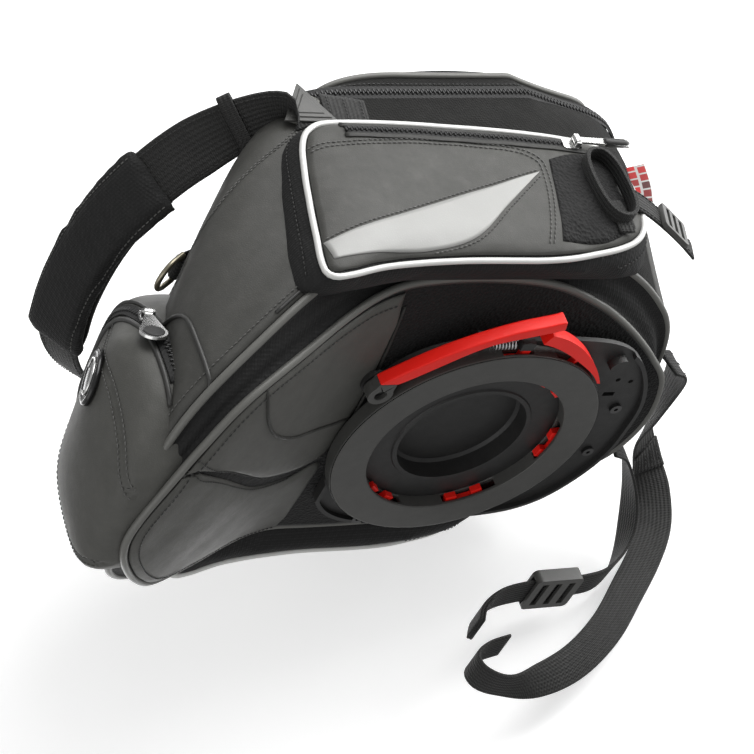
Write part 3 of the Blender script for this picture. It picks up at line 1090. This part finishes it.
# grey tab and stitched black block on the upper right flank
for nm, pts, wdt, mt in (("tab_grey", [(-128, -141, 146), (-121, -141, 158), (-112, -139.5, 170), (-104, -138, 178)], 15, "piping"),
                         ("anchor_block", [(-92, -141.5, 146), (-90, -141.5, 156), (-88, -140.5, 166), (-86, -139, 175)], 30, "webbing")):
    P = curve(pts, step=3)
    Pd, Nd = skin.drape(P, (0, 1, 0), 1.2, back=30)
    rb, RPp, RW, RN = ribbon(nm, Pd, (1, 0, 0), wdt, 2.2, M[mt])
    put(rb, "bag")
    n2 = RN if (RN[0] @ A([0, -1, 0])) > 0 else -RN
    put(stitches(nm + "_stitches", [(RPp + RW * o + n2 * 1.1, n2) for o in (-wdt * .38, 0, wdt * .38)], M["thread_dark"]), "bag")

# woven tag folded into the front seam
P = curve([(130, -113.5, 112), (135, -112.5, 124), (140, -110, 138), (144, -107.5, 151)], step=2)
tg, *_ = ribbon("woven_tag_cloth", P, (0.88, -0.48, 0), 13.0, 1.3, M["tag"])
put(tg, "bag", "woven_tag")

# ------------------------------------------------------------------ carry handle
HP = [(-117, -144.2, 146), (-122, -144.0, 154), (-136, -141, 159), (-155, -128, 161), (-176, -107, 162), (-194, -83, 162),
      (-209, -55, 161), (-220, -26, 159), (-226, 6, 157), (-228, 38, 154), (-224, 68, 151), (-208, 98, 151),
      (-180, 124, 154), (-148, 139, 155), (-122, 144.0, 151), (-117, 144.2, 146)]
HW = [(1, 0, 0.1), (1, 0, -0.1), (0.95, 0.2, -0.3), (0.85, 0.2, -0.5), (0.7, 0.15, -0.7), (0.6, 0.12, -0.78), (0.55, 0.1, -0.8),
      (0.5, 0.05, -0.82), (0.45, 0, -0.85), (0.42, -0.05, -0.85), (0.45, -0.1, -0.85), (0.5, -0.15, -0.8), (0.6, -0.15, -0.75),
      (0.8, -0.1, -0.6), (1, 0, -0.2), (1, 0, 0.1)]
P, Wd = ribbon_path(HP, HW, step=3.5)
hwid = np.interp(np.linspace(0, 1, len(P)), [0, .08, .2, .8, .92, 1], [31, 31, 38, 38, 31, 31])
hb, P, Wd, Nd = ribbon("handle_webbing", P, Wd, hwid, 2.6, M["webbing"], curl=0.0)
put(hb, "handle", "carry_handle")
runs = [(P + Wd * (o * hwid / 38)[:, None] + Nd * s * 1.35, Nd * s) for o in (-15.5, 15.5) for s in (-1, 1)]
put(stitches("handle_stitches", runs, M["thread_dark"]), "handle")
# padded sleeve, flap edge and keeper
P2, W2 = ribbon_path(HP[4:12], HW[4:12], step=4.0)
k0, k1 = int(len(P2) * .16), int(len(P2) * .86)
P2, W2 = P2[k0:k1], W2[k0:k1]
ends = np.clip(np.minimum(np.arange(len(P2)), np.arange(len(P2))[::-1]) / 2.5 + 0.55, 0, 1)
slv, SP, SW, SN = ribbon("handle_sleeve_pad", P2, W2, 49.0, 11.0 * ends, M["padded"])
puff(slv, 4.5, 5.0, 3.0, pin=None)
put(slv, "handle", "handle_sleeve")
sk = Surf(slv)
crs = []
for o in (-19.0, 19.0):
    for s in (1, -1):
        crs.append(sk.drape(SP[1:-1] + SW[1:-1] * o, SN[1:-1] * s, 0, back=20)[0])
crease(slv, crs, 4.5, 1.3)
sk = Surf(slv)
runs = []
for o in (-19.0, 19.0):
    for s in (1, -1):
        runs.append(sk.drape(SP[1:-1] + SW[1:-1] * o, SN[1:-1] * s, 0.1, back=20))
put(stitches("sleeve_stitches", runs, M["thread"]), "handle")
up_n = SN if SN[len(SN) // 2][2] > 0 else -SN
flap = sk.drape(SP[1:-1] + SW[1:-1] * 4, -up_n[1:-1], 0.9, back=20)
fl, *_ = ribbon("sleeve_flap", flap[0], SW[1:-1], 30.0, 1.6, M["leather_dark"])
put(fl, "handle")
for i, f in enumerate((0.13, 0.90)):
    c = int(len(P) * f)
    ctr, wd_, nd_ = P[c], Wd[c], Nd[c]
    a = np.linspace(0, TAU, 40, endpoint=False)
    lp = ctr + (np.sign(np.cos(a)) * np.abs(np.cos(a)) ** .35 * 20.6)[:, None] * wd_ + (np.sign(np.sin(a)) * np.abs(np.sin(a)) ** .6 * 3.0)[:, None] * nd_
    kp, *_ = ribbon("handle_keeper_%d" % i, lp, np.cross(wd_, nd_), 9.0, 1.5, M["webbing"], closed=True)
    put(kp, "handle")

# webbing tabs that hold the D-rings
for sgn, word in ((-1, "right"), (1, "left")):
    eye = A([-194.2, sgn * 60, 102.4])
    t_, n_ = A([-.8, 0, -.6]), A([-.6, 0, .8])
    a = np.linspace(math.radians(-60), math.radians(240), 22)
    loop_ = [eye + (-t_) * 16 - n_ * 0.9] + [eye - t_ * 8 + n_ * 1.2] + [eye + t_ * (3.1 * math.cos(b)) + n_ * (3.1 * math.sin(b)) for b in np.linspace(math.radians(120), math.radians(-100), 9)] + [eye - t_ * 6 - n_ * 2.9]
    P = curve(loop_, step=1.6)
    rb, *_ = ribbon("d_ring_web_" + word, P, (0, 1, 0), 17.0, 1.3, M["webbing"])
    put(rb, "bag", "d_ring_tab_" + word)

# ------------------------------------------------------------------ steering-head strap
SP_ = [(150, -44, 30), (161, -40, 31), (176, -14, 40), (190, 30, 48), (205, 72, 56), (221, 102, 52), (226, 116, 34),
       (218, 121, 8), (198, 121, -18), (170, 121, -46), (138, 121, -76), (104, 121, -98), (70, 121, -110),
       (42, 121, -112), (26, 121, -104), (24, 121, -92), (36, 121, -84), (54, 121, -80)]
SW_ = [(0, 0.2, 1), (0, 0.1, 1), (0.1, 0.1, 1), (0.4, 0, 0.9), (0.7, -0.1, 0.6), (0.87, -0.3, 0.3), (0.87, -0.44, -0.2), (0.85, -0.25, -0.4),
       (0.78, -0.05, -0.6), (0.68, 0.09, -0.73), (0.58, 0.2, -0.78), (0.36, 0.42, -0.83), (0.2, 0.75, -0.6)] + [(0, 1, 0)] * 5
P, Wd = ribbon_path(SP_, SW_, step=3.0)
P = P + A([0, 1, 0]) * (0.8 * np.sin(np.arange(len(P)) * .16))[:, None]
sb_, P, Wd, Nd = ribbon("steering_web", P, Wd, 25.4, 2.3, M["webbing"])
put(sb_, "bag", "steering_strap")
k = int(len(P) * 0.30)
patch, PP, PW, PN = ribbon("steering_web_fold", P[k:k + 9] + Nd[k:k + 9] * 2.2, Wd[k:k + 9], 25.8, 2.2, M["webbing"])
put(patch, "bag")
runs = [(PP[1:-1] + PW[1:-1] * o + PN[1:-1] * 1.25, PN[1:-1]) for o in (-9.5, -3, 3, 9.5)]
runs += [(P[2:6] + Wd[2:6] * o + Nd[2:6] * s * 1.2, Nd[2:6] * s) for o in (-9, 0, 9) for s in (-1, 1)]
put(stitches("steering_stitches", runs, M["thread_dark"]), "bag")
TP_ = [(150, 44, 30), (163, 52, 30), (176, 70, 26), (184, 92, 14), (182, 110, -4), (170, 119, -22), (152, 121, -34),
       (132, 121, -38), (108, 121, -39), (84, 121, -40), (62, 121, -44), (44, 121, -54), (36, 121, -66)]
TW_ = [(0, -0.2, 1), (0, -0.1, 1), (0.1, 0.1, 1), (0.1, 0.5, 0.8), (0, 0.9, 0.4), (0, 1, 0.1)] + [(0, 1, 0)] * 7
P, Wd = ribbon_path(TP_, TW_, step=3.0)
tb, P, Wd, Nd = ribbon("steering_tail_web", P, Wd, 25.0, 2.2, M["webbing"])
put(tb, "bag", "steering_strap_tail")
k = len(P) - 9
hem, PP, PW, PN = ribbon("steering_tail_hem", P[k:] + Nd[k:] * 2.1, Wd[k:], 25.2, 2.0, M["webbing"])
put(hem, "bag")
put(stitches("steering_tail_stitches", [(PP + PW * o + PN * 1.1, PN) for o in (-9, 9)], M["thread_dark"]), "bag")
for i, yc in enumerate((-44, 44)):
    c3 = A([152.5, yc, 30])
    pd, nn_ = skin.drape([c3 + A([0, dy, 0]) for dy in (-15, -5, 5, 15)], (-1, 0, 0), 1.0, back=40)
    rb, RPp, RW, RN = ribbon("strap_anchor_%d" % i, pd, (0, 0, 1), 30, 2.6, M["leather_dark"])
    put(rb, "bag")

# ------------------------------------------------------------------ details on the pulls
def pull_plane(o, along, nrm_):
    n_ = unit(A(nrm_))
    t_ = unit(A(along) - n_ * (A(along) @ n_))
    return A(o), t_, np.cross(n_, t_), n_


o, t_, b_, n_ = pull_plane((-228.5, -64.3, 58.4), (-0.25, -0.407, -0.879), (0, -0.907, 0.42))
c = o + t_ * (3.2 + 27.5) + n_ * 5.6
for s in (1, -1):
    a = np.linspace(0, TAU, 36, endpoint=False)
    rr = [6.6, 6.6, 6.2, 5.0, 2.5]
    hh = [0.6, 1.25, 1.5, 1.35, 1.35]
    G = np.stack([c + (np.cos(a) * r)[:, None] * t_ + (np.sin(a) * r)[:, None] * b_ + n_ * s * h for r, h in zip(rr, hh)])
    put(sheet("rear_pull_inlay_%s" % ("out" if s > 0 else "in"), G, M["plastic_dark"], wrap=True, pole1=c + n_ * s * 1.35, t=0.5, out=n_ * s), "rear_zip_pull")
for sgn, word in ((-1, "right"), (1, "left")):
    zd = unit(A([164, 0, -9.4]))
    o = A([50, sgn * 159.9, 118.2])
    n_ = A([0, sgn, 0])
    c0 = o + zd * 3.2 + n_ * 5.6
    P = curve([c0 + zd * 20, c0 + zd * 27, c0 + zd * 34, c0 + zd * 38.2], step=1.5)
    put(tube("%s_pull_grip" % word, P, np.interp(np.linspace(0, 1, len(P)), [0, .12, .85, 1], [2.6, 3.0, 3.0, 1.8]), M["plastic_dark"]), word + "_zip_pull")

# return spring: fine coil that shortens as the lever is pulled
n_t = 7.5
tt = np.linspace(0, 1, 260)
P = np.stack([-23.4 + 17.4 * tt, -98.6 + 3.1 * np.cos(tt * n_t * TAU), 6.2 + 3.1 * np.sin(tt * n_t * TAU)], 1)
spr = put(tube("spring_coil", P, 0.55, M["steel"], sides=8), "bag", "return_spring")
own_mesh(spr)

# ------------------------------------------------------------------ rigid CAD parts: materials and soft edges
RIGID = {
    "plastic": ["lock_housing", "strap_buckle", "ladder_lock_right", "ladder_lock_left", "strap_end_right", "strap_end_left", "lever_eye"],
    "plastic_dark": ["centre_dish", "base_plate", "lock_retainer", "spring_seat"],
    "red": ["release_lever", "lock_ring", "lock_slider"],
    "steel_dark": ["lever_pin", "plate_screws"],
    "chrome": ["rear_zip_slider", "rear_zip_pull", "right_zip_slider", "right_zip_pull", "left_zip_slider", "left_zip_pull", "lid_zip_slider", "lid_zip_pull"],
    "brass": ["d_ring_right", "d_ring_left"],
    "board": ["base_stiffener"],
}
BEVEL = {"lock_housing": 0.9, "centre_dish": 0.8, "base_plate": 0.7, "release_lever": 1.0, "lock_ring": 0.5, "lock_slider": 0.8, "strap_buckle": 0.9,
         "lever_eye": 0.6, "strap_end_right": 0.5, "strap_end_left": 0.5, "spring_seat": 0.4}
for key, names in RIGID.items():
    for nme in names:
        ob = NODES[nme]
        ob.data.materials.clear()
        ob.data.materials.append(M[key])
        if nme == "base_stiffener":
            continue
        if ob.data.has_custom_normals:
            with bpy.context.temp_override(object=ob, active_object=ob, selected_objects=[ob]):
                bpy.ops.mesh.customdata_custom_splitnormals_clear()
        wl = ob.modifiers.new("weld", "WELD")
        wl.merge_threshold = 1e-6
        bv = ob.modifiers.new("bevel", "BEVEL")
        bv.width, bv.segments, bv.limit_method, bv.angle_limit = BEVEL.get(nme, 0.25) * MM, 2, "ANGLE", math.radians(35)
        bv.harden_normals = False
        wn = ob.modifiers.new("normals", "WEIGHTED_NORMAL")
        wn.keep_sharp = True
        ob.data.polygons.foreach_set("use_smooth", [True] * len(ob.data.polygons))

# ------------------------------------------------------------------ floors, camera, light
CR, CU, CB = A([0.87825, -0.36219, -0.31222]), A([0.02486, -0.61746, 0.78621]), A([-0.47755, -0.69825, -0.53329])
cam_d = bpy.data.cameras.new("camera")
cam = bpy.data.objects.new("camera", cam_d)
bpy.context.scene.collection.objects.link(cam)
cam_d.type, cam_d.sensor_width, cam_d.lens = "PERSP", 36.0, 110.18
cam_d.clip_start, cam_d.clip_end = 0.05, 60
cam.matrix_world = Matrix(((CR[0], CU[0], CB[0], -0.7660), (CR[1], CU[1], CB[1], -1.0543), (CR[2], CU[2], CB[2], -0.7464), (0, 0, 0, 1)))
bpy.context.scene.camera = cam


def floor_mat(name, back=None):
    """Pale floor, clear when seen from behind, and for the tilted one clear unless looked at from the picture's side."""
    m = bpy.data.materials.new(name)
    m.use_nodes = True
    nt = m.node_tree
    nt.nodes.clear()
    outn = nt.nodes.new("ShaderNodeOutputMaterial")
    diff = nt.nodes.new("ShaderNodeBsdfDiffuse")
    diff.inputs["Color"].default_value = (0.86, 0.86, 0.86, 1)
    tr = nt.nodes.new("ShaderNodeBsdfTransparent")
    mix = nt.nodes.new("ShaderNodeMixShader")
    geo = nt.nodes.new("ShaderNodeNewGeometry")
    em = nt.nodes.new("ShaderNodeEmission")
    far = nt.nodes.new("ShaderNodeVectorMath")
    far.operation = "LENGTH"
    nt.links.new(geo.outputs["Position"], far.inputs[0])
    mr = nt.nodes.new("ShaderNodeMapRange")
    for i, v in enumerate((0.9, 3.6, 0.44, 0.95), 1):
        mr.inputs[i].default_value = v
    nt.links.new(far.outputs["Value"], mr.inputs[0])
    nt.links.new(mr.outputs[0], em.inputs["Strength"])
    both = nt.nodes.new("ShaderNodeAddShader")
    nt.links.new(diff.outputs[0], both.inputs[0])
    nt.links.new(em.outputs[0], both.inputs[1])
    nt.links.new(both.outputs[0], mix.inputs[1])
    nt.links.new(tr.outputs[0], mix.inputs[2])
    fac = geo.outputs["Backfacing"]
    if back is not None:
        dot = nt.nodes.new("ShaderNodeVectorMath")
        dot.operation = "DOT_PRODUCT"
        nt.links.new(geo.outputs["Incoming"], dot.inputs[0])
        dot.inputs[1].default_value = tuple(back)
        lt = nt.nodes.new("ShaderNodeMath")
        lt.operation = "LESS_THAN"
        nt.links.new(dot.outputs["Value"], lt.inputs[0])
        lt.inputs[1].default_value = 0.86
        mx = nt.nodes.new("ShaderNodeMath")
        mx.operation = "MAXIMUM"
        nt.links.new(fac, mx.inputs[0])
        nt.links.new(lt.outputs[0], mx.inputs[1])
        fac = mx.outputs[0]
    nt.links.new(fac, mix.inputs[0])
    nt.links.new(mix.outputs[0], outn.inputs["Surface"])
    return m


def plane(name, centre, up, size, mat):
    up = unit(A(up))
    x = unit(np.cross(up, A([0.3, 0.1, 1]) if abs(up[2]) < .9 else A([0, 1, 0])))
    y = np.cross(up, x)
    c = A(centre)
    me = bpy.data.meshes.new(name)
    me.from_pydata([tuple(c + x * a * size + y * b * size) for a, b in ((-1, -1), (1, -1), (1, 1), (-1, 1))], [], [(0, 1, 2, 3)])
    me.materials.append(mat)
    ob = bpy.data.objects.new(name, me)
    bpy.context.scene.collection.objects.link(ob)
    if A(me.polygons[0].normal) @ up < 0:
        me.flip_normals()
    ob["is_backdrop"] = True
    ob.visible_shadow = False
    ob.visible_diffuse = False
    ob.visible_glossy = False
    return ob


lo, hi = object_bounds()
plane("floor", (0, 0, lo.z - 0.002), (0, 0, 1), 6.0, floor_mat("floor_pale"))
UPF = unit(A([-0.365, -0.921, 0.135]))
dg = bpy.context.evaluated_depsgraph_get()
least = 1e9
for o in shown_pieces():
    e = o.evaluated_get(dg)
    me = e.to_mesh()
    co = np.zeros(len(me.vertices) * 3)
    me.vertices.foreach_get("co", co)
    if len(co):
        least = min(least, (co.reshape(-1, 3) @ UPF).min())
    e.to_mesh_clear()
plane("side_floor", UPF * (least - 0.003), UPF, 5.0, floor_mat("floor_pale_side", CB))


def area(name, at, aim, size, power, color=(1, 1, 1)):
    L = bpy.data.lights.new(name, "AREA")
    L.shape, L.size, L.energy, L.color = "SQUARE", size, power, color
    o = bpy.data.objects.new(name, L)
    bpy.context.scene.collection.objects.link(o)
    o.location = Vector(at)
    o.rotation_mode = "QUATERNION"
    o.rotation_quaternion = (Vector(aim) - Vector(at)).to_track_quat("-Z", "Y")
    return o


C0 = A([-0.03, 0.0, 0.06])
area("key", C0 + CU * 1.3 + CR * 0.5 + CB * 0.5, C0, 1.3, 24)
area("rim", C0 + CU * 0.9 + CR * 1.2 + CB * 0.1, C0, 0.9, 10)
area("fill", C0 - CU * 0.8 - CR * 0.9 + CB * 1.2, C0, 1.6, 8)
area("top", C0 + A([0.2, 0.3, 1.6]), C0, 1.4, 12)
area("left", C0 + A([0.4, 1.6, 0.7]), C0, 1.4, 16)
area("front", C0 + A([1.6, -0.4, 0.5]), C0, 1.2, 12)

w = bpy.data.worlds.new("studio")
bpy.context.scene.world = w
w.use_nodes = True
nt = w.node_tree
bg = nt.nodes["Background"]
lp_ = nt.nodes.new("ShaderNodeLightPath")
st_ = math_node(nt, "ADD", 0.42, math_node(nt, "MULTIPLY", lp_.outputs["Is Camera Ray"], 0.58))
nt.links.new(st_, bg.inputs["Strength"])
bg.inputs["Color"].default_value = (1, 1, 1, 1)
try:
    bpy.context.scene.view_settings.view_transform = "Standard"
except Exception:
    pass
